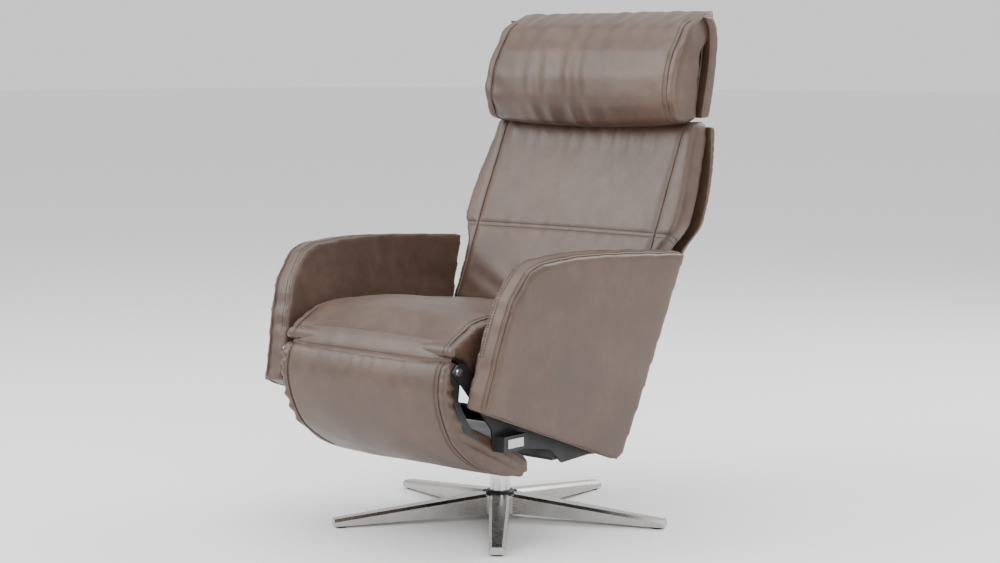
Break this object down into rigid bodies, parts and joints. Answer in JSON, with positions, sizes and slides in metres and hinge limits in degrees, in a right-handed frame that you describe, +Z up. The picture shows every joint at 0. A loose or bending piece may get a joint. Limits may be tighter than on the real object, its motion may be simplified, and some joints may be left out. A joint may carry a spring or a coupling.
{
  "type": "recliner armchair",
  "caption": "Powered recliner armchair on a swivelling star base, with leaning arms, curved leg rest, reclining back and tilting headrest.",
  "frame": {"origin": "on the floor, on the seat's swivel axis", "axes": "+X to the sitter's left arm, -Y to the front, +Z up"},
  "size_m": [0.7171, 0.8519, 1.098],
  "materials": {
    "leather": "satin",
    "plywood": "matte",
    "star_base": "satin",
    "column": "polished",
    "glides": "matte",
    "black_plastic": "matte",
    "bush": "satin",
    "buttons": "satin",
    "panel": "gloss",
    "bare_plate": "satin",
    "webbing": "matte",
    "bright_steel": "satin",
    "motor_case": "satin",
    "black_steel": "satin"
  },
  "bodies": {
    "base": {"base_hub": "star_base", "base_leg_1": "star_base", "base_leg_2": "star_base", "base_leg_3": "star_base", "base_leg_4": "star_base", "base_leg_5": "star_base", "leg_glides": "glides", "column_tube": "column", "column_collar": "black_plastic", "swivel_bush_upper": "bush", "swivel_bush_lower": "bush"},
    "chassis": {"swivel_spindle": "bright_steel", "spindle_clip": "bright_steel", "swivel_plate": "black_steel", "side_plate_left": "black_steel", "side_plate_right": "black_steel", "chassis_cross_tubes": "black_steel", "arm_stubs": "black_steel", "arm_bolts": "bright_steel", "seat_side_rails": "black_steel", "seat_end_rails": "black_steel", "seat_webbing": "webbing", "seat_cushion": "leather", "arm_inner_pad_left": "leather", "arm_board_left": "plywood", "arm_outer_panel_left": "leather", "arm_inner_pad_right": "leather", "arm_board_right": "plywood", "arm_outer_panel_right": "leather", "leg_pivot_bolts": "bright_steel", "back_pivot_bolts": "bright_steel", "back_motor": "motor_case", "leg_motor": "motor_case", "motor_posts": "black_steel", "control_box": "black_plastic", "rating_plate": "bare_plate", "control_panel": "panel"},
    "back": {"back_cushion": "leather", "back_hinge_plates": "black_steel", "back_cross_tube_lower": "black_steel", "back_cross_tube_upper": "black_steel", "back_upright_left": "black_steel", "back_upright_right": "black_steel", "back_shell": "leather", "back_crank": "black_steel", "head_hinge_brackets": "black_steel"},
    "headrest": {"head_pillow": "leather", "head_board": "plywood", "head_cover": "leather", "head_hinge_leaves": "black_steel"},
    "leg_rest": {"leg_rest_pad": "leather", "leg_rest_board": "plywood", "leg_end_plates": "black_steel", "leg_crank": "black_steel"},
    "back_actuator_rod": {"back_rod": "bright_steel"},
    "leg_actuator_rod": {"leg_rod": "bright_steel"},
    "button_1": {"button_1": "buttons"},
    "button_2": {"button_2": "buttons"},
    "button_3": {"button_3": "buttons"},
    "button_4": {"button_4": "buttons"}
  },
  "joints": [
    {"name": "seat_swivel", "type": "hinge", "parent": "base", "child": "chassis", "pos_m": [0, 0, 0.1], "axis": [0, 0, 1], "continuous": true},
    {"name": "back_recline", "type": "hinge", "parent": "chassis", "child": "back", "pos_m": [0, 0.135, 0.395], "axis": [-1, 0, 0], "range_deg": [0, 38]},
    {"name": "head_tilt", "type": "hinge", "parent": "back", "child": "headrest", "pos_m": [0, 0.318, 0.855], "axis": [1, 0, 0], "range_deg": [0, 20]},
    {"name": "leg_rest_swing", "type": "hinge", "parent": "chassis", "child": "leg_rest", "pos_m": [0, -0.398, 0.388], "axis": [-1, 0, 0], "range_deg": [0, 100]},
    {"name": "back_rod_slide", "type": "slide", "parent": "chassis", "child": "back_actuator_rod", "axis": [0, -1, 0], "range_m": [0, 0.06643]},
    {"name": "leg_rod_slide", "type": "slide", "parent": "chassis", "child": "leg_actuator_rod", "axis": [0, -0.9659, 0.2588], "range_m": [0, 0.08427]},
    {"name": "button_1_press", "type": "slide", "parent": "chassis", "child": "button_1", "axis": [0.994, 0, -0.1093], "range_m": [0, 0.0015], "stiffness_N_per_m": 600, "springref_m": -0.001},
    {"name": "button_2_press", "type": "slide", "parent": "chassis", "child": "button_2", "axis": [0.994, 0, -0.1093], "range_m": [0, 0.0015], "stiffness_N_per_m": 600, "springref_m": -0.001},
    {"name": "button_3_press", "type": "slide", "parent": "chassis", "child": "button_3", "axis": [0.994, 0, -0.1093], "range_m": [0, 0.0015], "stiffness_N_per_m": 600, "springref_m": -0.001},
    {"name": "button_4_press", "type": "slide", "parent": "chassis", "child": "button_4", "axis": [0.994, 0, -0.1093], "range_m": [0, 0.0015], "stiffness_N_per_m": 600, "springref_m": -0.001}
  ],
  "couplings": [
    {"joint": "back_rod_slide", "follows": "back_recline", "m_per_rad": 0.10014},
    {"joint": "leg_rod_slide", "follows": "leg_rest_swing", "m_per_rad": 0.04828}
  ]
}
